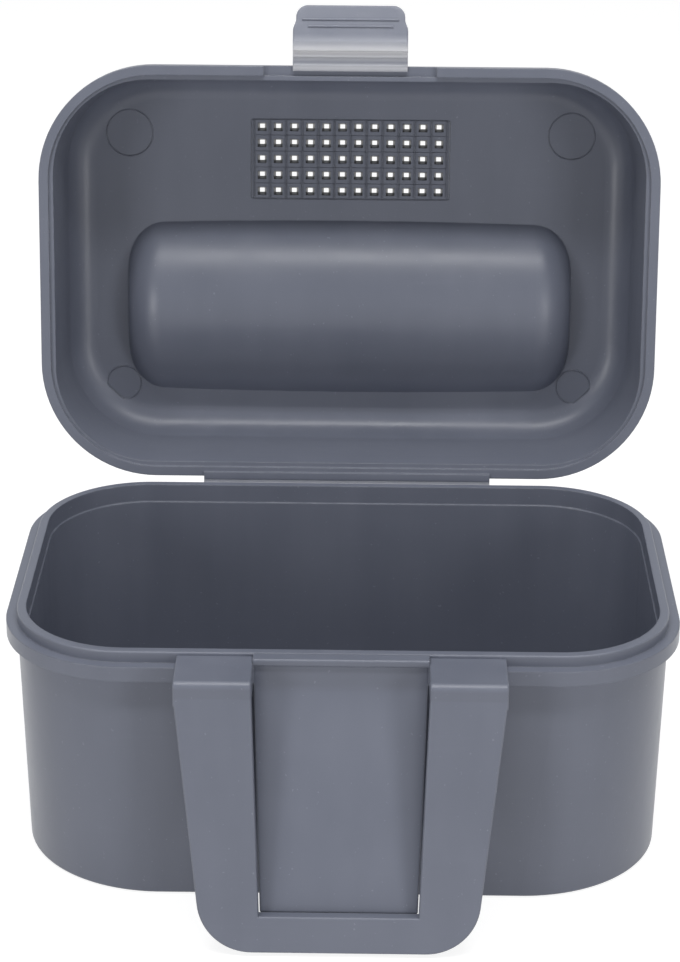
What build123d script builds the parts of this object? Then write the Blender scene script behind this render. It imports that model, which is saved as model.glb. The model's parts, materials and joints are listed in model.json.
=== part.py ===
import math
import os

from build123d import *

# Live bait box of moulded polypropylene: lid standing open, belt clip and spring tongue in front.
# Millimetres. +Z up, +Y to the rear (hinge side), origin on the table under the tub's centre.

# Tub
tub_height = 53.4          # table to the top of the lip
mouth_width = 126.0        # between the lip's inner faces
mouth_depth = 82.0
mouth_radius = 20.9
lip_wall = 1.85
lip_rise = 2.3             # lip above the flange
flange_reach = 2.2         # flange beyond the lip
flange_height = 3.1
wall_draft = 0.46          # how far the wall draws in from flange to base
base_radius = 28.4         # plan corner radius at the base
floor_wall = 2.0
floor_round = 3.0
ledge_drop = 4.0           # faint step inside, below the top of the lip
ledge_step = 0.3
base_edge_round = 0.6
lip_round = 0.35

# Rear film hinge
hinge_width = 63.0
hinge_reach = 1.15         # flange's outer face to the hinge line
hinge_tab = 1.6            # thickness of the tabs on tub and lid
tab_gap = 0.2              # each tab's face to the hinge line's level
film_radius = 0.3          # bent film, as a rod on the hinge line
film_gap = 0.2
lid_lean = 8.5             # open lid, back from upright, degrees

# Lid
lid_gap = 1.8              # closed rim above the flange
lip_gap = 0.15             # closed lid above the lip
rim_face = 2.05            # flat outer ring of the rim
rebate_reach = 1.0         # rebate floor inside the ring
lid_inner_depth = 26.0
lid_wall = 1.8
lid_draft = 1.2            # how far the walls draw in towards the top
lid_inner_round = 6.0
lid_outer_round = 5.0
lid_rim_height = 2.8       # band round the rim
lid_rim_step = 1.35        # band beyond the lid's walls
latch_seat_width = 37.0
latch_seat_depth = 0.8

# Hollow in the lid, bulging inwards
bulge_width = 100.0
bulge_depth = 39.4
bulge_rise = 11.0
bulge_end_radius = 8.5
bulge_crown = 0.7          # how far the roller swells from its ends to its middle
bulge_from_rear = 33.4     # centre line, from the lid's rear edge

# Vent
vent_columns = 12
vent_rows = 5
vent_pitch = 3.6
vent_hole_wide = 1.95
vent_hole_tall = 1.8
vent_hole_taper = 0.45     # how far each side of a hole draws in
vent_width = 44.4
vent_height = 17.6
vent_from_rear = 66.9      # centre line, from the lid's rear edge
vent_seat_gap = 0.05

# Ejector pin marks inside the lid: radius, distance from the middle, from the lid's rear edge
pin_mark_depth = 0.12
front_pin_radius = 5.2
front_pin_spread = 49.4
front_pin_from_rear = 72.5
rear_pin_radius = 3.9
rear_pin_spread = 51.2
rear_pin_from_rear = 15.4

# Belt clip
block_inner = 16.9         # half the gap between the blocks
block_outer = 31.7
block_drop = 0.65          # blocks' top below the lip's
clip_stand = 9.85          # block's upright front face, in front of the flange
block_face = 3.2           # height of that face
clip_foot = 0.75           # clip's lower edge above the table
clip_foot_stand = 20.6     # that edge in front of the flange
clip_foot_half = 26.1      # half the clip's width at its lower edge
clip_foot_radius = 10.5
clip_wall = 3.0
window_foot_half = 15.35
window_sill = 7.8          # window's lower edge above the table
block_round = 1.3
clip_edge_round = 0.4

# Catch bead between the blocks
bead_stand = 0.6           # bead in front of the flange
bead_height = 1.5
bead_round = 0.4

# Spring tongue behind the window
tongue_wall = 1.5
tongue_side_gap = 0.15
tongue_root_gap = 0.25
tongue_tip_gap = 0.4       # tip behind the clip's bar
tongue_overlap = 0.6       # tip below the window's lower edge

# Latch
latch_width = 24.6
latch_tip_width = 23.3
latch_wall = 0.8
latch_gap = 0.15           # folded latch in front of the bead
latch_end_gap = 0.1        # latch plate to the film on its hinge line
latch_length = 11.5        # hinge line to tip
latch_shoulder = 7.0       # hinge line to where the latch narrows
latch_flare = 22.0         # thumb flap, degrees out of the plate
latch_flare_start = 4.0
latch_corner_radius = 2.6
latch_root_seat = 1.0      # root plate inside the lid's front edge
hook_catch_gap = 0.15
hook_rise = 0.6
hook_flat = 0.45
hook_ramp = 2.0
grip_ridge_radius = 0.3    # two ridges across the thumb flap
grip_ridge_half = (9.1, 10.3)
grip_ridge_from_tip = (4.4, 3.0)

# Worked out from the sizes above
lip_width = mouth_width + 2 * lip_wall
lip_depth = mouth_depth + 2 * lip_wall
lip_radius = mouth_radius + lip_wall
flange_width = lip_width + 2 * flange_reach
flange_depth = lip_depth + 2 * flange_reach
flange_radius = lip_radius + flange_reach
flange_top = tub_height - lip_rise
flange_under = flange_top - flange_height
ledge_z = tub_height - ledge_drop
lip_front = lip_depth / 2
flange_front = flange_depth / 2
block_top = tub_height - block_drop
clip_reach = flange_front + clip_stand
clip_foot_reach = flange_front + clip_foot_stand
bead_reach = flange_front + bead_stand

hinge_y = flange_front + hinge_reach
hinge_z = flange_top + lid_gap / 2
tab_end = film_radius + film_gap
open_angle = math.radians(90 + lid_lean)

# The open lid's frame, on the hinge line: local +Z is the lid's depth, local -Y runs to its front
lid_plane = Plane(
    origin=(0, hinge_y, hinge_z),
    x_dir=(1, 0, 0),
    z_dir=(0, math.sin(open_angle), math.cos(open_angle)),
)
rim_level = lid_gap / 2
rebate_depth = lip_rise - lid_gap + lip_gap
lid_centre = -hinge_y
lid_rear = -hinge_reach
lid_front = lid_rear - flange_depth
inner_level = rim_level + lid_inner_depth
top_level = inner_level + lid_wall
seat_level = rim_level + rebate_depth + latch_seat_depth

clip_drop = block_top - block_face - clip_foot
clip_lean = math.atan2(clip_foot_reach - clip_reach, clip_drop)
clip_length = clip_drop / math.cos(clip_lean)
clip_plane = Plane(
    origin=(0, -clip_reach, block_top - block_face),
    x_dir=(1, 0, 0),
    z_dir=(0, -math.cos(clip_lean), math.sin(clip_lean)),
)
window_length = (block_top - block_face - window_sill) / math.cos(clip_lean)

os.makedirs("parts", exist_ok=True)


def finish(piece, name):
    """Label a finished piece and write its file."""
    piece.part.label = name
    export_step(piece.part, f"parts/{name}.step")


# Tub: drafted walls, a flange all round, a thinner lip above it and a hinge tab at the rear
with BuildPart() as cavity:
    with BuildSketch(Plane.XY.offset(floor_wall)):
        inset = 2 * (ledge_step + wall_draft)
        RectangleRounded(mouth_width - inset, mouth_depth - inset, base_radius - lip_wall)
    with BuildSketch(Plane.XY.offset(ledge_z)):
        RectangleRounded(mouth_width - 2 * ledge_step, mouth_depth - 2 * ledge_step, mouth_radius)
    loft()
    fillet(cavity.faces().sort_by(Axis.Z)[0].edges(), floor_round)
    with BuildSketch(Plane.XY.offset(ledge_z)):
        RectangleRounded(mouth_width, mouth_depth, mouth_radius)
    extrude(amount=ledge_drop + lip_rise)

with BuildPart() as tub:
    with BuildSketch(Plane.XY):
        RectangleRounded(lip_width - 2 * wall_draft, lip_depth - 2 * wall_draft, base_radius)
    with BuildSketch(Plane.XY.offset(flange_under)):
        RectangleRounded(lip_width, lip_depth, lip_radius)
    loft()
    fillet(tub.faces().sort_by(Axis.Z)[0].edges(), base_edge_round)
    with BuildSketch(Plane.XY.offset(flange_under)):
        RectangleRounded(flange_width, flange_depth, flange_radius)
    extrude(amount=flange_height)
    with BuildSketch(Plane.XY.offset(flange_top)):
        RectangleRounded(lip_width, lip_depth, lip_radius)
    extrude(amount=lip_rise)
    fillet(tub.faces().sort_by(Axis.Z)[-1].edges(), lip_round)
    add(cavity.part, mode=Mode.SUBTRACT)
    with BuildSketch(Plane.XY.offset(hinge_z - tab_gap)):
        with Locations((0, flange_front - flange_reach / 2)):
            Rectangle(hinge_width, hinge_reach + flange_reach / 2 - tab_end, align=(Align.CENTER, Align.MIN))
    extrude(amount=-hinge_tab)
finish(tub, "tub")

# Bent film of the rear hinge
with BuildPart() as hinge_film:
    with BuildSketch(Plane.YZ.offset(-hinge_width / 2)):
        with Locations((hinge_y, hinge_z)):
            Circle(film_radius)
    extrude(amount=hinge_width)
finish(hinge_film, "hinge_film")

# Belt clip: two blocks on the rim, two legs, a bar across their feet and a catch bead between
with BuildPart() as clip_legs:
    with BuildSketch(clip_plane):
        with BuildLine():
            Polyline(
                (-block_outer, 0),
                (-clip_foot_half, -clip_length),
                (clip_foot_half, -clip_length),
                (block_outer, 0),
                close=True,
            )
        make_face()
        fillet(vertices().group_by(Axis.Y)[0], clip_foot_radius)
        with BuildLine():
            Polyline(
                (-block_inner, 0),
                (-window_foot_half, -window_length),
                (window_foot_half, -window_length),
                (block_inner, 0),
                close=True,
            )
        make_face(mode=Mode.SUBTRACT)
    extrude(amount=-clip_wall)
    outward = Axis(clip_plane.origin, clip_plane.z_dir)
    legs_front = clip_legs.faces().filter_by(clip_plane).sort_by(outward)[-1]
    fillet(legs_front.edges().group_by(Axis.Z)[:-1], clip_edge_round)

with BuildPart() as belt_clip:
    for block_start in (-block_outer, block_inner):
        with BuildSketch(Plane.YZ.offset(block_start)):
            with BuildLine():
                lower_reach = clip_reach + math.tan(clip_lean) * (block_top - block_face - flange_under)
                Polyline(
                    (-lip_front, block_top),
                    (-clip_reach, block_top),
                    (-clip_reach, block_top - block_face),
                    (-lower_reach, flange_under),
                    (-flange_front, flange_under),
                    (-flange_front, flange_top),
                    (-lip_front, flange_top),
                    close=True,
                )
            make_face()
            fillet(vertices().sort_by_distance((-clip_reach, block_top))[0], block_round)
        extrude(amount=block_outer - block_inner)
    side_edges = belt_clip.faces().filter_by(Axis.X).edges()
    outer_edges = side_edges.filter_by(
        lambda edge: edge.center().Y < -flange_front - clip_edge_round
        and edge.center().Z > flange_under + clip_edge_round
    )
    fillet(outer_edges, clip_edge_round)
    add(clip_legs.part)
    with BuildSketch(Plane.YZ.offset(-block_inner)):
        with BuildLine():
            Polyline(
                (-lip_front, tub_height),
                (-bead_reach, tub_height),
                (-bead_reach, tub_height - bead_height),
                (-flange_front, tub_height - bead_height),
                (-flange_front, flange_top),
                (-lip_front, flange_top),
                close=True,
            )
        make_face()
        fillet(vertices().group_by(Axis.X)[0], bead_round)
    extrude(amount=2 * block_inner)
finish(belt_clip, "belt_clip")

# Spring tongue: hangs from under the flange and slopes out to just behind the clip's bar
tongue_axis_y = -flange_front + tongue_wall / 2
tongue_axis_z = flange_under - tongue_root_gap - tongue_wall / 2
bar_back_y = -clip_reach - window_length * math.sin(clip_lean) + clip_wall * math.cos(clip_lean)
tip_z = window_sill - clip_wall * math.sin(clip_lean) - tongue_overlap
tip_y = bar_back_y + tongue_tip_gap + tongue_wall / 2
tongue_length = math.hypot(tongue_axis_y - tip_y, tongue_axis_z - tip_z)
tongue_lean = math.atan2(tongue_axis_y - tip_y, tongue_axis_z - tip_z)
tongue_plane = Plane(
    origin=(0, tongue_axis_y, tongue_axis_z),
    x_dir=(1, 0, 0),
    z_dir=(0, -math.cos(tongue_lean), math.sin(tongue_lean)),
)
tongue_root_half = block_inner - tongue_side_gap
tongue_foot_half = window_foot_half - tongue_side_gap
with BuildPart() as clip_tongue:
    with BuildSketch(tongue_plane.offset(-tongue_wall / 2)):
        with BuildLine():
            Polyline(
                (-tongue_root_half, 0),
                (-tongue_foot_half, -tongue_length),
                (tongue_foot_half, -tongue_length),
                (tongue_root_half, 0),
                close=True,
            )
        make_face()
    extrude(amount=tongue_wall)
    with BuildSketch(Plane.YZ.offset(-tongue_root_half)):
        with Locations((tongue_axis_y, tongue_axis_z)):
            Circle(tongue_wall / 2)
    extrude(amount=2 * tongue_root_half)
finish(clip_tongue, "clip_tongue")

# Barrel-shaped hollow of the lid: a round-ended roller, cut by the lid's top
roller_radius = (bulge_depth ** 2 / 4 + bulge_rise ** 2) / (2 * bulge_rise)
roller_level = inner_level + roller_radius - bulge_rise
roller_centre = lid_rear - bulge_from_rear
roller_plane = Plane(
    origin=lid_plane.from_local_coords((0, roller_centre, roller_level)),
    x_dir=(1, 0, 0),
    z_dir=lid_plane.y_dir,
)


def roller(radius, half_width, end_radius):
    """Solid roller about the hollow's axis, fuller in the middle and rounded at its ends."""
    with BuildPart() as body:
        with BuildSketch(roller_plane):
            with BuildLine():
                end_height = radius - bulge_crown
                Polyline((-half_width, end_height), (-half_width, 0), (half_width, 0), (half_width, end_height))
                ThreePointArc((half_width, end_height), (0, radius), (-half_width, end_height))
            make_face()
            fillet(vertices().group_by(Axis.Y)[-1], end_radius)
        revolve(axis=Axis(roller_plane.origin, (1, 0, 0)))
    return body.part


bulge_body = roller(roller_radius, bulge_width / 2, bulge_end_radius)
hollow_body = roller(roller_radius - lid_wall, bulge_width / 2 - lid_wall, bulge_end_radius - lid_wall)

# Inside of the lid, with the rebate that takes the lip
with BuildPart() as lid_inside:
    inner_inset = 2 * (rim_face + rebate_reach)
    with BuildSketch(lid_plane.offset(rim_level)):
        with Locations((0, lid_centre)):
            RectangleRounded(flange_width - inner_inset, flange_depth - inner_inset, mouth_radius)
    with BuildSketch(lid_plane.offset(inner_level)):
        with Locations((0, lid_centre)):
            top_inset = inner_inset + 2 * lid_draft
            RectangleRounded(flange_width - top_inset, flange_depth - top_inset, mouth_radius)
    loft()
    lid_depth_axis = Axis(lid_plane.origin, lid_plane.z_dir)
    fillet(lid_inside.faces().sort_by(lid_depth_axis)[-1].edges(), lid_inner_round)
    add(bulge_body, mode=Mode.SUBTRACT)
    with BuildSketch(lid_plane.offset(rim_level)):
        with Locations((0, lid_centre)):
            RectangleRounded(
                flange_width - 2 * rim_face, flange_depth - 2 * rim_face, flange_radius - rim_face
            )
    extrude(amount=rebate_depth)

with BuildPart() as lid_shell:
    wall_inset = 2 * lid_rim_step
    wall_radius = mouth_radius + rim_face + rebate_reach - lid_rim_step
    with BuildSketch(lid_plane.offset(rim_level)):
        with Locations((0, lid_centre)):
            RectangleRounded(flange_width - wall_inset, flange_depth - wall_inset, wall_radius)
    with BuildSketch(lid_plane.offset(top_level)):
        with Locations((0, lid_centre)):
            outer_inset = wall_inset + 2 * lid_draft
            RectangleRounded(flange_width - outer_inset, flange_depth - outer_inset, wall_radius)
    loft()
    fillet(lid_shell.faces().sort_by(lid_depth_axis)[-1].edges(), lid_outer_round)
    with BuildSketch(lid_plane.offset(rim_level)):
        with Locations((0, lid_centre)):
            RectangleRounded(flange_width, flange_depth, flange_radius)
    extrude(amount=lid_rim_height)
    add(lid_inside.part, mode=Mode.SUBTRACT)
    add(hollow_body, mode=Mode.SUBTRACT)
    with BuildSketch(lid_plane.offset(rim_level)):
        with Locations((0, lid_front - rim_face)):
            Rectangle(latch_seat_width, 2 * rim_face, align=(Align.CENTER, Align.MIN))
    extrude(amount=rebate_depth + latch_seat_depth, mode=Mode.SUBTRACT)
    with BuildSketch(lid_plane.offset(tab_gap)):
        with Locations((0, lid_rear - rim_face / 2)):
            Rectangle(hinge_width, hinge_reach + rim_face / 2 - tab_end, align=(Align.CENTER, Align.MIN))
    extrude(amount=hinge_tab)
    with BuildSketch(lid_plane.offset(inner_level - pin_mark_depth)):
        with Locations((-front_pin_spread, lid_rear - front_pin_from_rear)):
            Circle(front_pin_radius)
        with Locations((front_pin_spread, lid_rear - front_pin_from_rear)):
            Circle(front_pin_radius)
        with Locations((-rear_pin_spread, lid_rear - rear_pin_from_rear)):
            Circle(rear_pin_radius)
        with Locations((rear_pin_spread, lid_rear - rear_pin_from_rear)):
            Circle(rear_pin_radius)
    extrude(amount=2 * pin_mark_depth, mode=Mode.SUBTRACT)
    with BuildSketch(lid_plane.offset(inner_level - lid_wall)):
        with Locations((0, lid_rear - vent_from_rear)):
            Rectangle(vent_width + 2 * vent_seat_gap, vent_height + 2 * vent_seat_gap)
    extrude(amount=3 * lid_wall, mode=Mode.SUBTRACT)
finish(lid_shell, "lid_shell")

# Vent: a plate flush with the lid, pierced by tapered holes
with BuildPart() as vent_grille:
    with BuildSketch(lid_plane.offset(inner_level)):
        with Locations((0, lid_rear - vent_from_rear)):
            Rectangle(vent_width, vent_height)
    extrude(amount=lid_wall)
    with BuildSketch(lid_plane.offset(inner_level)):
        with Locations((0, lid_rear - vent_from_rear)):
            with GridLocations(vent_pitch, vent_pitch, vent_columns, vent_rows):
                Rectangle(vent_hole_wide, vent_hole_tall)
    taper_angle = math.degrees(math.atan2(vent_hole_taper, lid_wall))
    extrude(amount=lid_wall, taper=taper_angle, mode=Mode.SUBTRACT)
finish(vent_grille, "vent_grille")

# Latch: root plate and film stay with the lid, the hooked plate folds
latch_axis_y = lid_front - (bead_reach + latch_gap + latch_wall / 2 - flange_front)
latch_axis_level = seat_level - latch_wall / 2
latch_film_radius = latch_wall / 2
with BuildPart() as latch_root:
    with BuildSketch(lid_plane.offset(seat_level)):
        with Locations((0, latch_axis_y)):
            Rectangle(
                latch_width, lid_front + latch_root_seat - latch_axis_y, align=(Align.CENTER, Align.MIN)
            )
    extrude(amount=-latch_wall)
    latch_side_plane = Plane(
        origin=lid_plane.from_local_coords((latch_width / 2, latch_axis_y, latch_axis_level)),
        x_dir=-lid_plane.y_dir,
        z_dir=(-1, 0, 0),
    )
    with BuildSketch(latch_side_plane):
        Circle(latch_film_radius)
    extrude(amount=latch_width)
finish(latch_root, "latch_root")

# The latch's side view: first coordinate from hinge line to tip, second towards the lid's outside
plate_start = latch_film_radius + latch_end_gap
latch_axis_z = flange_top + lid_gap + rebate_depth + latch_seat_depth - latch_wall / 2
hook_start = latch_axis_z - (tub_height - bead_height - hook_catch_gap)
flare = math.tan(math.radians(latch_flare))
tip_drop = (latch_length - latch_flare_start) * flare
half_wall = latch_wall / 2
ramp_end = hook_start + hook_flat + hook_ramp
ramp_end_drop = (ramp_end - latch_flare_start) * flare
with BuildPart() as latch:
    with BuildSketch(latch_side_plane):
        with BuildLine():
            Polyline(
                (plate_start, half_wall),
                (plate_start, -half_wall),
                (hook_start, -half_wall),
                (hook_start, -half_wall - hook_rise),
                (hook_start + hook_flat, -half_wall - hook_rise),
                (ramp_end, -half_wall + ramp_end_drop),
                (latch_length, -half_wall + tip_drop),
                (latch_length, half_wall + tip_drop),
                (latch_flare_start, half_wall),
                close=True,
            )
        make_face()
    extrude(amount=latch_width)
    with BuildSketch(lid_plane.offset(seat_level - 2 * hook_rise - latch_wall)):
        with Locations((0, latch_axis_y - latch_shoulder)):
            Rectangle(latch_width, 2 * latch_shoulder, align=(Align.CENTER, Align.MIN))
        with BuildLine():
            shoulder_y = latch_axis_y - latch_shoulder
            narrow_y = shoulder_y - (latch_width - latch_tip_width) / 2
            tip_line = latch_axis_y - latch_length
            Polyline(
                (-latch_width / 2, shoulder_y),
                (-latch_tip_width / 2, narrow_y),
                (-latch_tip_width / 2, tip_line),
                (latch_tip_width / 2, tip_line),
                (latch_tip_width / 2, narrow_y),
                (latch_width / 2, shoulder_y),
                close=True,
            )
        make_face()
        fillet(vertices().group_by(Axis.Y)[0], latch_corner_radius)
    extrude(amount=tip_drop + 4 * latch_wall + 2 * hook_rise, mode=Mode.INTERSECT)
    for half_length, from_tip in zip(grip_ridge_half, grip_ridge_from_tip):
        ridge_drop = (latch_length - from_tip - latch_flare_start) * flare
        with BuildSketch(latch_side_plane.offset(latch_width / 2 - half_length)):
            with Locations((latch_length - from_tip, ridge_drop - half_wall)):
                Circle(grip_ridge_radius)
        extrude(amount=2 * half_length)
finish(latch, "latch")
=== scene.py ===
import json
import math

import bpy
from mathutils import Matrix, Vector


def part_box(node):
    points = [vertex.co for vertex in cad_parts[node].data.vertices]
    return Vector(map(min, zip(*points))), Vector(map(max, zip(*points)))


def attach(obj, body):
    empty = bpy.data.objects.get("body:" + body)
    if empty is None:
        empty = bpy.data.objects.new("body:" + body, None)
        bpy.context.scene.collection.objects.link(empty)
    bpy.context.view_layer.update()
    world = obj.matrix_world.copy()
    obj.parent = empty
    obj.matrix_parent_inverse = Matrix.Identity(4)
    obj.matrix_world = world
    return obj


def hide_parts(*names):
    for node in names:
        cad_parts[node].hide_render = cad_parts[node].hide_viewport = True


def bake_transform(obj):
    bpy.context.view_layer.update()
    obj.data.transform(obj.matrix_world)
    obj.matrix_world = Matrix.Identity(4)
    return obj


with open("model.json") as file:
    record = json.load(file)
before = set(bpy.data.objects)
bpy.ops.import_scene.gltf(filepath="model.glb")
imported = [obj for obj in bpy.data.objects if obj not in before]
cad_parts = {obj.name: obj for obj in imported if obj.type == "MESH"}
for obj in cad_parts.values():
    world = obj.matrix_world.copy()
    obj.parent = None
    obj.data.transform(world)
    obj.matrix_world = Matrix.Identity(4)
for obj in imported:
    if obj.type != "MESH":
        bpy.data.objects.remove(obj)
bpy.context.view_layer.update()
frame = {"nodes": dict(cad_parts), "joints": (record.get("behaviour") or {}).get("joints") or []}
print("frame loaded:", ", ".join(sorted(frame["nodes"])))

mm = 0.001
joints = {joint["name"]: joint for joint in frame["joints"]}
hingeLine = Vector(joints["lid_hinge"]["pos_m"])
latchLine = Vector(joints["latch_hinge"]["pos_m"])
lidLean = math.radians(joints["lid_hinge"]["range_deg"][1] - 90)
lidUp = Vector((0, math.sin(lidLean), math.cos(lidLean)))       # along the open lid, hinge to latch
lidBack = Vector((0, math.cos(lidLean), -math.sin(lidLean)))    # out through the open lid's top
across = Vector((1, 0, 0))


# shader maths
class Wire:
    # wraps a socket, so that sums on it add Math nodes
    def __init__(self, tree, socket=None):
        self.tree = tree
        self.socket = socket

    def node(self, kind, settings=None, sockets=None, pick=0):
        made = self.tree.nodes.new(kind)
        for name, value in (settings or {}).items():
            if name == "stops":
                setStops(made.color_ramp, value)
            else:
                setattr(made, name, value)
        for key, value in (sockets or {}).items():
            if isinstance(value, Wire):
                self.tree.links.new(value.socket, made.inputs[key])
            else:
                made.inputs[key].default_value = value
        return Wire(self.tree, made.outputs[pick] if len(made.outputs) else None)

    def maths(self, operation, first, second=0.0, clamp=False):
        settings = {"operation": operation, "use_clamp": clamp}
        return self.node("ShaderNodeMath", settings, {0: first, 1: second})

    def __add__(self, other):
        return self.maths("ADD", self, other)

    def __radd__(self, other):
        return self.maths("ADD", other, self)

    def __sub__(self, other):
        return self.maths("SUBTRACT", self, other)

    def __rsub__(self, other):
        return self.maths("SUBTRACT", other, self)

    def __mul__(self, other):
        return self.maths("MULTIPLY", self, other)

    def __rmul__(self, other):
        return self.maths("MULTIPLY", other, self)


def setStops(ramp, stops):
    while len(ramp.elements) < len(stops):
        ramp.elements.new(0.5)
    for element, (place, level) in zip(ramp.elements, stops):
        element.position = place
        element.color = (level, level, level, 1)


def newMaterial(name):
    material = bpy.data.materials.new(name)
    material.use_nodes = True
    material.node_tree.nodes.clear()
    return material, Wire(material.node_tree)


# the vent's raised ribs between its columns of holes, and the fainter lines between its rows
ventSize = {
    "fromHinge": 68.05 * mm, "level": 26.9 * mm, "pitch": 3.6 * mm, "columns": 12, "rows": 5,
    "ribLong": 17.2 * mm, "ribWide": 1.10 * mm, "ribRise": 0.20 * mm,
    "lineLong": 43.4 * mm, "lineWide": 0.55 * mm, "lineRise": 0.06 * mm,
    "wall": 1.8 * mm, "paintedShadeFrom": 0.12 * mm,    # the painted shade in the holes starts this far in from each face
}
ventCentre = hingeLine + lidUp * ventSize["fromHinge"] + lidBack * ventSize["level"]


# moulded plastic
boxPlastic = {
    "colour": (0.145, 0.158, 0.202, 1),
    "paler": (0.192, 0.205, 0.254, 1),
    "worn": (0.36, 0.38, 0.43, 1),
    "roughness": 0.29,      # where nothing dulls it
    "cloudScale": 38, "cloudShare": 0.30, "cloudRamp": ((0.32, 0), (0.70, 1)), "cloudDulls": 0.07,
    "flowScale": 160, "flowShare": 0.16, "flowRamp": ((0.35, 0), (0.68, 1)), "flowDulls": 0.05,
    "flowStretch": (1, 1, 0.14),
    "scuffScale": 260, "scuffShare": 0.07, "scuffRamp": ((0.60, 0), (0.72, 1)), "scuffDulls": 0.03,
    "scuffStretch": (0.10, 1.6, 1.6),
    "speckScale": 1500, "speckShare": 0.28, "speckRamp": ((0.745, 0), (0.775, 1)),
    "edgeRadius": 0.35 * mm, "edgeShare": 0.425, "edgeRamp": ((0.02, 0), (0.22, 1)),
    "wearScale": 420, "wearRamp": ((0.38, 0.15), (0.66, 1)),      # breaks the worn edges up
    "grainScale": 2600, "grainHeight": 0.012 * mm, "grainStrength": 0.6,
    "waveScale": 22, "waveHeight": 0.05 * mm, "waveStrength": 0.5,
}


def plastic(name, look, translucence=0.0, mask=None):
    # one moulded finish; mask(wire, place) may mark where it takes the look's maskColour
    material, wire = newMaterial(name)
    place = wire.node("ShaderNodeTexCoord", pick=3)

    def noise(scale, detail=2.0, stretch=(1, 1, 1), distortion=0.0):
        turned = wire.node("ShaderNodeMapping", None, {0: place, 3: stretch})
        sockets = {"Vector": turned, "Scale": scale, "Detail": detail, "Distortion": distortion}
        return wire.node("ShaderNodeTexNoise", None, sockets)

    def ramp(source, stops):
        return wire.node("ShaderNodeValToRGB", {"stops": look[stops]}, {0: source})

    rounded = wire.node("ShaderNodeBevel", {"samples": 3}, {"Radius": look["edgeRadius"]})
    flat = wire.node("ShaderNodeNewGeometry", pick=1)
    facing = wire.node("ShaderNodeVectorMath", {"operation": "DOT_PRODUCT"}, {0: rounded, 1: flat}, pick=1)
    edge = ramp(1 - facing, "edgeRamp") * ramp(noise(look["wearScale"], 1), "wearRamp")

    cloud = ramp(noise(look["cloudScale"], 3, distortion=0.4), "cloudRamp")
    flow = ramp(noise(look["flowScale"], 2, look["flowStretch"]), "flowRamp")
    speck = ramp(noise(look["speckScale"], 1), "speckRamp")
    scuff = ramp(noise(look["scuffScale"], 3, look["scuffStretch"], 0.3), "scuffRamp")

    def mix(share, first, second):
        settings = {"data_type": "RGBA"}
        return wire.node("ShaderNodeMix", settings, {0: share, 6: first, 7: second}, pick=2)

    tone = cloud * look["cloudShare"] + flow * look["flowShare"] + scuff * look["scuffShare"]
    colour = mix(tone, look["colour"], look["paler"])
    colour = mix(speck * look["speckShare"], colour, look["worn"])
    colour = mix(edge * look["edgeShare"], colour, look["worn"])
    if mask:
        colour = mix(mask(wire, place), colour, look["maskColour"])
    dulled = cloud * look["cloudDulls"] + flow * look["flowDulls"] + scuff * look["scuffDulls"]
    roughness = dulled + look["roughness"]

    grain = wire.node("ShaderNodeBump", None, {
        "Strength": look["grainStrength"], "Distance": look["grainHeight"],
        "Height": noise(look["grainScale"], 1), "Normal": rounded,
    })
    normal = wire.node("ShaderNodeBump", None, {
        "Strength": look["waveStrength"], "Distance": look["waveHeight"],
        "Height": noise(look["waveScale"], 0), "Normal": grain,
    })
    surface = wire.node("ShaderNodeBsdfPrincipled", None, {
        "Base Color": colour, "Roughness": roughness, "Normal": normal, "IOR": 1.49,
        "Subsurface Weight": translucence, "Subsurface Radius": (1.0, 1.0, 1.1), "Subsurface Scale": 0.8 * mm,
    })
    wire.node("ShaderNodeOutputMaterial", None, {0: surface})
    return material


latchPlastic = dict(
    boxPlastic, colour=(0.192, 0.206, 0.256, 1), paler=(0.262, 0.276, 0.325, 1),
    maskColour=(0.70, 0.70, 0.72, 1),
    # paler bands: stress whitening near the film, painted highlight over the hook's ramp
    whiteningAndHighlightBands=((-1.4 * mm, 1.5 * mm, 0.60), (2.0 * mm, 2.5 * mm, 1.0)),    # middle, reach, share
)
filmPlastic = dict(latchPlastic, colour=(0.36, 0.37, 0.41, 1), paler=(0.46, 0.47, 0.51, 1))


def whiteningAndRampHighlight(wire, place):
    # paler bands either side of the latch's hinge line: stress whitening where the plastic is bent, and a
    # painted highlight where the wider band runs over the hook and its ramp
    offset = wire.node("ShaderNodeVectorMath", {"operation": "SUBTRACT"}, {0: place, 1: latchLine})
    along = wire.node("ShaderNodeVectorMath", {"operation": "DOT_PRODUCT"}, {0: offset, 1: lidUp}, pick=1)
    bands = []
    for middle, reach, share in latchPlastic["whiteningAndHighlightBands"]:
        distance = wire.maths("ABSOLUTE", along - middle)
        bands.append(wire.maths("SUBTRACT", 1, distance * (1 / reach), clamp=True) * share)
    return wire.maths("MAXIMUM", *bands)


def paintedHoleShade(wire, place):
    # painted shade in the vent's holes: their walls are coloured dark between the grille's two faces, in
    # place of the shadow there
    offset = wire.node("ShaderNodeVectorMath", {"operation": "SUBTRACT"}, {0: place, 1: ventCentre})
    depth = wire.node("ShaderNodeVectorMath", {"operation": "DOT_PRODUCT"}, {0: offset, 1: lidBack}, pick=1)
    inner = wire.maths("MULTIPLY", depth, 1 / ventSize["paintedShadeFrom"], clamp=True)
    outer = wire.maths("MULTIPLY", ventSize["wall"] - depth, 1 / ventSize["paintedShadeFrom"], clamp=True)
    return inner * outer


satinPlastic = plastic("satinPlastic", boxPlastic)
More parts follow.
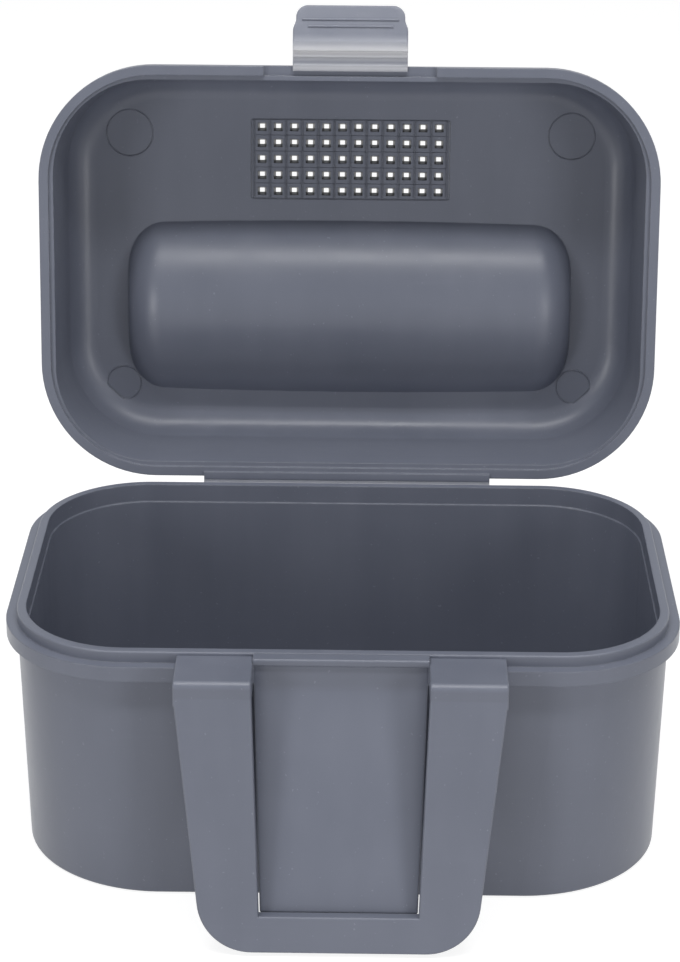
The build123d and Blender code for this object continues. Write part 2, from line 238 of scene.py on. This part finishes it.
# the grille's look: near-black painted shade in its holes
paintedShadeLook = dict(boxPlastic, maskColour=(0.018, 0.019, 0.026, 1))
grillePaintedShade = plastic("grillePaintedShade", paintedShadeLook, mask=paintedHoleShade)
palePlastic = plastic("palePlastic", latchPlastic, translucence=0.25, mask=whiteningAndRampHighlight)
thinFilm = plastic("thinFilm", filmPlastic, translucence=0.4)
finishes = {
    "tub": satinPlastic, "belt_clip": satinPlastic, "lid_shell": satinPlastic, "vent_grille": grillePaintedShade,
}
for name, finish in finishes.items():
    node = frame["nodes"][name]
    node.data.materials.clear()
    node.data.materials.append(finish)
print("plastics made:", satinPlastic.name, grillePaintedShade.name, palePlastic.name, thinFilm.name)


# meshes
def addPiece(name, corners, faces, material, sharpFrom=40):
    mesh = bpy.data.meshes.new(name)
    mesh.from_pydata([tuple(corner) for corner in corners], [], faces)
    mesh.materials.append(material)
    mesh.shade_smooth()
    mesh.set_sharp_from_angle(angle=math.radians(sharpFrom))
    piece = bpy.data.objects.new(name, mesh)
    bpy.context.scene.collection.objects.link(piece)
    return piece


def sectionRing(half, front, back, rounding, columns, turnSteps=4):
    # a rounded rectangle, as pairs: across the piece, and through its thickness
    most = 0.96        # of the half wall, so that a little flat stays between two corners
    rounding = min(rounding, (front + back) / 2 * most, half * most)
    ring = []
    for side, level, start in ((1, back, 0), (-1, back, 90), (-1, -front, 180), (1, -front, 270)):
        centreX = side * (half - rounding)
        centreD = level - rounding if level == back else level + rounding
        for step in range(turnSteps + 1):
            angle = math.radians(start + 90 * step / turnSteps)
            ring.append((centreX + rounding * math.cos(angle), centreD + rounding * math.sin(angle)))
        if start in (0, 180):     # columns across the wide faces
            for column in range(1, columns):
                share = column / columns
                ring.append((centreX - side * share * 2 * (half - rounding), level))
    return ring


def ribbon(name, stations, rounding, material, columns=10):
    # a closed slab through stations of (centre, outward normal, front, back, half width)
    corners, faces = [], []
    for centre, outward, front, back, half in stations:
        for x, d in sectionRing(half, front, back, rounding, columns):
            corners.append(centre + across * x + outward * d)
    count = len(corners) // len(stations)
    for row in range(len(stations) - 1):
        for k in range(count):
            after = (k + 1) % count
            faces.append((row * count + k, row * count + after,
                          (row + 1) * count + after, (row + 1) * count + k))
    last = (len(stations) - 1) * count
    faces.append(tuple(range(count - 1, -1, -1)))
    faces.append(tuple(range(last, last + count)))
    return addPiece(name, corners, faces, material)


def bentPath(start, heading, away, bendAt, bendRadius, bendAngle):
    # points and normals along a line that turns once; heading runs along it, away is square to it
    half = abs(bendAngle) / 2
    tangent = bendRadius * math.tan(half)
    corner = start + heading * bendAt
    turn = math.copysign(1, bendAngle)

    def at(distance):
        if distance < bendAt - tangent:
            return start + heading * distance, away
        arc = bendRadius * abs(bendAngle)
        into = distance - (bendAt - tangent)
        angle = min(into / bendRadius, abs(bendAngle))
        direction = heading * math.cos(angle) + away * math.sin(angle) * turn
        normal = away * math.cos(angle) - heading * math.sin(angle) * turn
        point = corner - heading * tangent
        point = point + heading * bendRadius * math.sin(angle)
        point = point + away * turn * bendRadius * (1 - math.cos(angle))
        if into > arc:
            point = point + direction * (into - arc)
        return point, normal

    return at


# rear film hinge: a thin bent strip between the tabs of tub and lid
hingeFilm = {
    "width": 63.0 * mm, "wall": 0.28 * mm,
    "tabEnd": 0.5 * mm, "reachIntoTab": 0.25 * mm,
    "below": 0.35 * mm,       # strip's centre line, from the hinge line
    "flare": 0.55 * mm, "flareShares": (1, 0.65, 0.3, 0), "steps": 14, "edge": 0.08 * mm,
}


def makeHingeFilm(size):
    # stations run from the tub's tab round the hinge line to the lid's tab
    tubOut, tubInward = Vector((0, 0, -1)), Vector((0, -1, 0))
    sweep = math.acos(max(-1, min(1, tubOut.dot(lidBack))))
    half = size["width"] / 2
    thin = size["wall"] / 2
    tubEnd = hingeLine + tubInward * size["tabEnd"] + tubOut * size["below"]
    lidEnd = hingeLine + lidUp * size["tabEnd"] + lidBack * size["below"]

    def flared(end, inward, outward):
        # the film thickens as it runs into a tab; the first station lies deepest
        made = []
        for share in size["flareShares"]:
            back = thin + size["flare"] * share ** 2
            made.append((end + inward * share * size["reachIntoTab"], outward, thin, back, half))
        return made

    stations = flared(tubEnd, tubInward, tubOut)
    for step in range(size["steps"] + 1):
        angle = sweep * step / size["steps"]
        outward = Vector((0, math.sin(angle), -math.cos(angle)))
        stations.append((hingeLine + outward * size["below"], outward, thin, thin, half))
    stations += reversed(flared(lidEnd, lidUp, lidBack))
    piece = ribbon("hingeFilm", stations, size["edge"], thinFilm, columns=24)
    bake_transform(piece)
    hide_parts("hinge_film")
    print("hinge film made:", len(piece.data.vertices), "corners")


makeHingeFilm(hingeFilm)


# latch: one paler moulding, root plate, film, hooked plate and thumb flap
latchSize = {
    "width": 24.6 * mm, "tipWidth": 23.3 * mm, "wall": 0.8 * mm, "film": 0.34 * mm,
    "root": 2.15 * mm,          # root plate below the hinge line
    "filmReach": 0.85 * mm,     # where the film has grown to the full wall
    "length": 11.5 * mm, "shoulder": 6.6 * mm, "shoulderRun": 2.4 * mm, "corner": 2.6 * mm,
    "flareStart": 4.0 * mm, "flare": 22.0, "flareBend": 3.0 * mm,
    "hookStart": 2.2 * mm, "hookRise": 0.6 * mm, "hookFlat": 0.45 * mm, "hookRamp": 2.0 * mm,
    "hookLead": 0.02 * mm, "hookEase": 0.06 * mm,      # slope of the hook's face, and its broken edge
    "edge": 0.26 * mm,
    "plainStations": (-1.4 * mm, 1.7 * mm, 5.8 * mm, 6.6 * mm),
}


def latchHalfWidth(size, along, slant):
    # plan outline: wide, an eased shoulder, narrower, then round corners at the tip
    ease = min(1, max(0, (along - size["shoulder"]) / size["shoulderRun"]))
    ease = ease * ease * (3 - 2 * ease)
    half = size["width"] / 2 - ease * (size["width"] - size["tipWidth"]) / 2
    into = along - (slant - size["corner"])
    if into > 0:
        half -= size["corner"] - math.sqrt(max(0, size["corner"] ** 2 - into ** 2))
    return half


def makeLatch(size):
    slant = size["flareStart"] + (size["length"] - size["flareStart"]) / math.cos(math.radians(size["flare"]))
    at = bentPath(latchLine, lidUp, lidBack, size["flareStart"], size["flareBend"],
                  math.radians(size["flare"]))
    full, thin = size["wall"] / 2, size["film"] / 2
    hookStart = size["hookStart"]
    hookTop = hookStart + size["hookFlat"]
    distances = [-size["root"], *size["plainStations"]]
    distances += [size["filmReach"] * k / 6 for k in range(-7, 8)]
    distances += [hookStart - size["hookLead"], hookStart, hookStart + size["hookEase"]]
    distances += [(hookStart + hookTop) / 2, hookTop]
    distances += [hookTop + size["hookRamp"] * k / 6 for k in range(1, 7)]
    distances += [size["shoulder"] + size["shoulderRun"] * k / 8 for k in range(9)]
    cornerFrom = slant - size["corner"]
    distances += [cornerFrom + size["corner"] * math.sin(math.radians(90 * k / 12)) for k in range(13)]
    stations = []
    for distance in sorted(set(distances)):
        near = min(1, abs(distance) / size["filmReach"])
        wall = thin + (full - thin) * (1 - math.sqrt(max(0, 1 - near ** 2)))
        front = back = wall
        if hookStart <= distance <= hookTop:
            front = full + size["hookRise"] - (size["hookEase"] if distance == hookStart else 0)
        elif hookTop < distance < hookTop + size["hookRamp"]:
            share = (distance - hookTop) / size["hookRamp"]
            front = full + size["hookRise"] * (1 - share)
        tip = (distance - (slant - size["edge"])) / size["edge"]
        if tip > 0:
            trim = size["edge"] * (1 - math.sqrt(max(0, 1 - tip ** 2)))
            front, back = front - trim, back - trim
        point, normal = at(distance)
        stations.append((point, normal, front, back, latchHalfWidth(size, distance, slant)))
    piece = ribbon("latch_moulding", stations, size["edge"], palePlastic, columns=16)
    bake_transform(piece)
    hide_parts("latch_root", "latch")
    print("latch made:", len(piece.data.vertices), "corners")
    return at, slant


latchPath, latchSlant = makeLatch(latchSize)


# spring tongue: hangs from the flange and slopes out behind the clip's bar
tongueSize = {
    "wall": 1.5 * mm, "rootHalf": 16.75 * mm, "footHalf": 15.2 * mm,
    "rise": 4.85 * mm,          # top end, under the catch bead, above the joint line
    "proud": 0.06 * mm,         # front face before the flange's, so that the two read as one sheet
    "bendRadius": 5.0 * mm, "edge": 0.3 * mm,
    "flexStart": 1.0 * mm, "flexEnd": 9.0 * mm,      # a span from above the joint line to below it
}


def makeTongue(size):
    tongueLine = Vector(joints["tongue_flex"]["pos_m"])
    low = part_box("clip_tongue")[0]
    # the CAD tongue's tip gives the slope: its lowest corner is at the back, its foremost in front
    drop = tongueLine.z - low.z
    run = tongueLine.y - low.y
    half = size["wall"] / 2
    slope = math.atan2(run - half, drop)
    for k in range(6):     # the slope settles within a few turns
        acrossWall, downWall = half * math.cos(slope), half * math.sin(slope)
        slope = math.atan2(run - acrossWall, drop - downWall)
    length = (drop - half * math.sin(slope)) / math.cos(slope)
    top = tongueLine + Vector((0, 0, size["rise"]))
    down, forward = Vector((0, 0, -1)), Vector((0, -1, 0))
    at = bentPath(top, down, forward, size["rise"], size["bendRadius"], slope)
    total = size["rise"] + length
    distances = [total * k / 30 for k in range(31)]
    distances += [size["rise"] + size["bendRadius"] * slope * k / 8 for k in range(-4, 5)]
    distances += [total - size["edge"] * (1 - math.sin(math.radians(15 * k))) for k in range(6)]
    stations = []
    for distance in sorted(set(distances)):
        share = max(0, (distance - size["rise"]) / length)
        tip = max(0, (distance - (total - size["edge"])) / size["edge"])
        trim = size["edge"] * (1 - math.sqrt(max(0, 1 - tip ** 2)))
        width = size["rootHalf"] + (size["footHalf"] - size["rootHalf"]) * share
        point, normal = at(distance)
        stations.append((point, normal, half - trim, half + size["proud"] - trim, width - trim))
    piece = ribbon("spring_tongue", stations, size["edge"], satinPlastic, columns=14)
    tongueLine - down * size["flexStart"]
    tongueLine + (down * math.cos(slope) + forward * math.sin(slope)) * size["flexEnd"]
    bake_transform(piece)
    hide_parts("clip_tongue")
    print("tongue made: slope", round(math.degrees(slope), 1), "length", round(length / mm, 1))


makeTongue(tongueSize)


# repeated pieces, by Geometry Nodes
def nodeTool(name, inputs):
    # an empty node group with named inputs; returns it with its input and output nodes
    tree = bpy.data.node_groups.new(name, "GeometryNodeTree")
    for label, kind, value in inputs:
        socket = tree.interface.new_socket(label, in_out="INPUT", socket_type=kind)
        if value is not None:
            socket.default_value = value
    tree.interface.new_socket("Geometry", in_out="OUTPUT", socket_type="NodeSocketGeometry")
    return tree, tree.nodes.new("NodeGroupInput"), tree.nodes.new("NodeGroupOutput")


def gadget(tree, kind, settings=None, sockets=None):
    made = tree.nodes.new(kind)
    for name, value in (settings or {}).items():
        setattr(made, name, value)
    for key, value in (sockets or {}).items():
        if isinstance(value, bpy.types.NodeSocket):
            tree.links.new(value, made.inputs[key])
        else:
            made.inputs[key].default_value = value
    return made


def endTree(tree, copies, material, result):
    real = gadget(tree, "GeometryNodeRealizeInstances", None, {0: copies.outputs[0]})
    finish = gadget(tree, "GeometryNodeSetMaterial", None,
                    {"Geometry": real.outputs[0], "Material": material})
    tree.links.new(finish.outputs[0], result.inputs[0])


def barRowTree(material):
    # a row of half-round bars: a profile swept along a line, instanced at even steps
    tree, given, result = nodeTool("barRow", [
        ("Count", "NodeSocketInt", 2), ("Step", "NodeSocketVector", (0, 0, 0.001)),
        ("Start", "NodeSocketVector", (0, 0, 0)), ("Reach", "NodeSocketVector", (0.01, 0, 0)),
        ("Turn", "NodeSocketRotation", None), ("Shrink", "NodeSocketFloat", 0.0),
        ("Bar Width", "NodeSocketFloat", 0.001), ("Bar Rise", "NodeSocketFloat", 0.0002),
    ])
    want = given.outputs
    line = gadget(tree, "GeometryNodeCurvePrimitiveLine", None, {"End": want["Reach"]})
    half = gadget(tree, "ShaderNodeVectorMath", {"operation": "SCALE"}, {0: want["Reach"], "Scale": -0.5})
    middle = gadget(tree, "GeometryNodeTransform", None,
                    {"Geometry": line.outputs[0], "Translation": half.outputs[0]})
    profile = gadget(tree, "GeometryNodeCurvePrimitiveCircle", None, {"Resolution": 16, "Radius": 0.5})
    size = gadget(tree, "ShaderNodeCombineXYZ", None, {0: want["Bar Width"], 1: want["Bar Rise"], 2: 1.0})
    shaped = gadget(tree, "GeometryNodeTransform", None,
                    {"Geometry": profile.outputs[0], "Scale": size.outputs[0]})
    bar = gadget(tree, "GeometryNodeCurveToMesh", None,
                 {"Curve": middle.outputs[0], "Profile Curve": shaped.outputs[0], "Fill Caps": True})
    points = gadget(tree, "GeometryNodeMeshLine", {"mode": "OFFSET"},
                    {"Count": want["Count"], "Start Location": want["Start"], "Offset": want["Step"]})
    index = gadget(tree, "GeometryNodeInputIndex")
    loss = gadget(tree, "ShaderNodeMath", {"operation": "MULTIPLY"}, {0: index.outputs[0], 1: want["Shrink"]})
    keep = gadget(tree, "ShaderNodeMath", {"operation": "SUBTRACT"}, {0: 1.0, 1: loss.outputs[0]})
    scale = gadget(tree, "ShaderNodeCombineXYZ", None, {0: keep.outputs[0], 1: 1.0, 2: 1.0})
    copies = gadget(tree, "GeometryNodeInstanceOnPoints", None, {
        "Points": points.outputs[0], "Instance": bar.outputs[0],
        "Rotation": want["Turn"], "Scale": scale.outputs[0],
    })
    endTree(tree, copies, material, result)
    return tree


def growPiece(name, tree, values):
    # runs a tree on an empty mesh and keeps the result as a plain mesh
    holder = bpy.data.objects.new(name + "Holder", bpy.data.meshes.new(name + "Holder"))
    bpy.context.scene.collection.objects.link(holder)
    modifier = holder.modifiers.new(name, "NODES")
    modifier.node_group = tree
    for item in tree.interface.items_tree:
        if item.in_out == "INPUT" and item.name in values:
            modifier[item.identifier] = values[item.name]
    depsgraph = bpy.context.evaluated_depsgraph_get()
    mesh = bpy.data.meshes.new_from_object(holder.evaluated_get(depsgraph))
    bpy.data.objects.remove(holder)
    mesh.name = name
    given = [material for material in mesh.materials if material]
    mesh.materials.clear()                 # the empty holder leaves a blank slot in front
    for face in mesh.polygons:
        face.material_index = 0
    mesh.materials.append(given[0])
    piece = bpy.data.objects.new(name, mesh)
    bpy.context.scene.collection.objects.link(piece)
    return piece


# grip ridges across the thumb flap: the longer one nearer the tip
gripSize = {
    "count": 2, "half": 10.3 * mm, "shrink": 0.117, "fromTip": 3.24 * mm, "step": 1.51 * mm,
    "wide": 0.62 * mm, "rise": 0.50 * mm,
}
gripPoint, gripNormal = latchPath(latchSlant - gripSize["fromTip"])
gripNext, gripNormal = latchPath(latchSlant - gripSize["fromTip"] - gripSize["step"])
gripSurface = gripNormal * (-latchSize["wall"] / 2)
gripRidges = growPiece("grip_ridges", barRowTree(palePlastic), {
    "Count": gripSize["count"], "Step": gripNext - gripPoint, "Start": gripPoint + gripSurface,
    "Reach": Vector((2 * gripSize["half"], 0, 0)), "Shrink": gripSize["shrink"],
    "Turn": Vector((-lidLean - math.radians(latchSize["flare"]), 0, 0)),
    "Bar Width": gripSize["wide"], "Bar Rise": gripSize["rise"],
})
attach(gripRidges, "latch")
print("grip ridges made:", len(gripRidges.data.polygons), "faces")


def turnOf(first, second, third):
    # the rotation that takes X, Y and Z to the three directions
    return Vector(Matrix((first, second, third)).transposed().to_euler())


def rideOnLid(piece):
    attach(piece, "lid")
    print(piece.name, "made:", len(piece.data.polygons), "faces")


rideOnLid(growPiece("vent_ribs", barRowTree(satinPlastic), {
    "Count": ventSize["columns"] + 1, "Step": across * ventSize["pitch"],
    "Start": ventCentre - across * (ventSize["columns"] / 2 * ventSize["pitch"]),
    "Reach": Vector((ventSize["ribLong"], 0, 0)), "Turn": turnOf(lidUp, lidBack, -across),
    "Bar Width": ventSize["ribWide"], "Bar Rise": ventSize["ribRise"],
}))
rideOnLid(growPiece("vent_lines", barRowTree(satinPlastic), {
    "Count": ventSize["rows"] + 1, "Step": lidUp * ventSize["pitch"],
    "Start": ventCentre - lidUp * (ventSize["rows"] / 2 * ventSize["pitch"]),
    "Reach": Vector((ventSize["lineLong"], 0, 0)), "Turn": turnOf(across, lidBack, -lidUp),
    "Bar Width": ventSize["lineWide"], "Bar Rise": ventSize["lineRise"],
}))


# ejector pin marks: the thin raised ring round each
pinMarks = {
    "front": {"radius": 5.2 * mm, "spread": 49.4 * mm, "fromHinge": 73.65 * mm},
    "rear": {"radius": 3.9 * mm, "spread": 51.2 * mm, "fromHinge": 16.55 * mm},
    "wide": 0.34 * mm, "rise": 0.16 * mm,
}


def ringPairTree(material):
    # two swept rings, a step apart
    tree, given, result = nodeTool("ringPair", [
        ("Start", "NodeSocketVector", (0, 0, 0)), ("Step", "NodeSocketVector", (0.1, 0, 0)),
        ("Turn", "NodeSocketRotation", None), ("Radius", "NodeSocketFloat", 0.005),
        ("Wire Width", "NodeSocketFloat", 0.0003), ("Wire Rise", "NodeSocketFloat", 0.0002),
    ])
    want = given.outputs
    ring = gadget(tree, "GeometryNodeCurvePrimitiveCircle", None,
                  {"Resolution": 96, "Radius": want["Radius"]})
    profile = gadget(tree, "GeometryNodeCurvePrimitiveCircle", None, {"Resolution": 10, "Radius": 0.5})
    size = gadget(tree, "ShaderNodeCombineXYZ", None, {0: want["Wire Width"], 1: want["Wire Rise"], 2: 1.0})
    shaped = gadget(tree, "GeometryNodeTransform", None,
                    {"Geometry": profile.outputs[0], "Scale": size.outputs[0]})
    swept = gadget(tree, "GeometryNodeCurveToMesh", None,
                   {"Curve": ring.outputs[0], "Profile Curve": shaped.outputs[0]})
    points = gadget(tree, "GeometryNodeMeshLine", {"mode": "OFFSET"},
                    {"Count": 2, "Start Location": want["Start"], "Offset": want["Step"]})
    copies = gadget(tree, "GeometryNodeInstanceOnPoints", None,
                    {"Points": points.outputs[0], "Instance": swept.outputs[0], "Rotation": want["Turn"]})
    endTree(tree, copies, material, result)
    return tree


for place in ("front", "rear"):
    mark = pinMarks[place]
    middle = hingeLine + lidUp * mark["fromHinge"] + lidBack * ventSize["level"]
    rideOnLid(growPiece(place + "_pin_rings", ringPairTree(satinPlastic), {
        "Start": middle - across * mark["spread"], "Step": across * (2 * mark["spread"]),
        "Turn": turnOf(across, lidUp, -lidBack), "Radius": mark["radius"],
        "Wire Width": pinMarks["wide"], "Wire Rise": pinMarks["rise"],
    }))


# floor, light and camera
studio = {
    "floorSize": 6.0, "floorDrop": 0.15 * mm,
    "floorColour": (0.80, 0.80, 0.81, 1), "floorSeen": (0.30, 0.30, 0.30, 1), "floorGlow": 0.86,
    "roomColour": (0.95, 0.97, 1.0, 1), "sheenLevel": 0.75, "roomLevel": 0.13,
}


def makeFloor(size):
    mesh = bpy.data.meshes.new("floor")
    half = size["floorSize"] / 2
    corners = [(-half, -half), (half, -half), (half, half), (-half, half)]
    mesh.from_pydata([(x, y, -size["floorDrop"]) for x, y in corners], [], [(0, 1, 2, 3)])
    floor = bpy.data.objects.new("floor", mesh)
    bpy.context.scene.collection.objects.link(floor)
    material, wire = newMaterial("paleFloor")
    rays = [wire.node("ShaderNodeLightPath", pick=name) for name in
            ("Is Camera Ray", "Is Glossy Ray", "Is Transmission Ray")]
    seen = wire.maths("MAXIMUM", wire.maths("MAXIMUM", rays[0], rays[1]), rays[2])
    plain = wire.node("ShaderNodeBsdfDiffuse", None, {0: size["floorColour"]})
    shaded = wire.node("ShaderNodeBsdfDiffuse", None, {0: size["floorSeen"]})
    glow = wire.node("ShaderNodeEmission", None, {1: size["floorGlow"]})
    pale = wire.node("ShaderNodeAddShader", None, {0: shaded, 1: glow})
    both = wire.node("ShaderNodeMixShader", None, {0: seen, 1: plain, 2: pale})
    wire.node("ShaderNodeOutputMaterial", None, {0: both})
    mesh.materials.append(material)


def makeRoom(size):
    world = bpy.data.worlds.new("studio")
    bpy.context.scene.world = world
    world.use_nodes = True
    world.node_tree.nodes.clear()
    wire = Wire(world.node_tree)
    seen = wire.node("ShaderNodeLightPath", pick="Is Camera Ray")
    mirrored = wire.node("ShaderNodeLightPath", pick="Is Glossy Ray")
    soft = wire.node("ShaderNodeBackground", None, {0: size["roomColour"], 1: size["roomLevel"]})
    sheen = wire.node("ShaderNodeBackground", None, {0: size["roomColour"], 1: size["sheenLevel"]})
    white = wire.node("ShaderNodeBackground", None, {0: (1, 1, 1, 1), 1: 1.0})
    around = wire.node("ShaderNodeMixShader", None, {0: mirrored, 1: soft, 2: sheen})
    both = wire.node("ShaderNodeMixShader", None, {0: seen, 1: around, 2: white})
    wire.node("ShaderNodeOutputWorld", None, {0: both})


softboxes = {
    "overhead": {"place": (0.0, 0.0, 1.15), "aim": (0, 0, 0.08), "size": (0.9, 0.4), "watts": 4.6},
    "strip": {"place": (0.0, -0.38, 1.10), "aim": (0, 0, 0.08), "size": (1.2, 0.12), "watts": 6.4},
    "front": {"place": (0.0, -1.5, 0.45), "aim": (0, 0, 0.07), "size": (1.2, 0.5), "watts": 0.4},
    "left": {"place": (-0.85, -1.1, 0.28), "aim": (0, 0, 0.07), "size": (0.35, 0.5), "watts": 3.4},
    "right": {"place": (0.85, -1.1, 0.28), "aim": (0, 0, 0.07), "size": (0.35, 0.5), "watts": 3.4},
}


def addSoftbox(name, size):
    light = bpy.data.lights.new(name, "AREA")
    light.shape = "RECTANGLE"
    light.size, light.size_y = size["size"]
    light.energy = size["watts"]
    lamp = bpy.data.objects.new(name, light)
    lamp.location = size["place"]
    aim = Vector(size["aim"]) - Vector(size["place"])
    lamp.rotation_euler = aim.to_track_quat("-Z", "Y").to_euler()
    bpy.context.scene.collection.objects.link(lamp)


# the photograph's view: 680 x 962 pixels, focal length in pixels from the fitted perspective
view = {
    "place": (5.13 * mm, -535.98 * mm, 293.08 * mm),
    "down": 22.45, "turn": 0.65, "roll": 0.35, "focalPixels": 2854.6, "imageHeight": 962, "sensor": 36.0,
}


def makeCamera(size):
    down, turn, roll = (math.radians(size[key]) for key in ("down", "turn", "roll"))
    ahead = Vector((-math.sin(turn) * math.cos(down), math.cos(turn) * math.cos(down), -math.sin(down)))
    right = Vector((math.cos(turn), math.sin(turn), 0))
    up = right.cross(ahead)
    rolledRight = right * math.cos(roll) + up * math.sin(roll)
    rolledUp = up * math.cos(roll) - right * math.sin(roll)
    lens = bpy.data.cameras.new("view")
    lens.sensor_width = size["sensor"]
    lens.lens = size["focalPixels"] / size["imageHeight"] * size["sensor"]
    lens.clip_start, lens.clip_end = 0.05, 20
    camera = bpy.data.objects.new("view", lens)
    axes = Matrix((rolledRight, rolledUp, -ahead)).transposed()
    camera.matrix_world = Matrix.Translation(size["place"]) @ axes.to_4x4()
    bpy.context.scene.collection.objects.link(camera)
    bpy.context.scene.camera = camera


makeFloor(studio)
makeRoom(studio)
for name, size in softboxes.items():
    addSoftbox(name, size)
makeCamera(view)
bpy.context.scene.view_settings.view_transform = "Standard"
print("studio set:", len(softboxes), "softboxes")
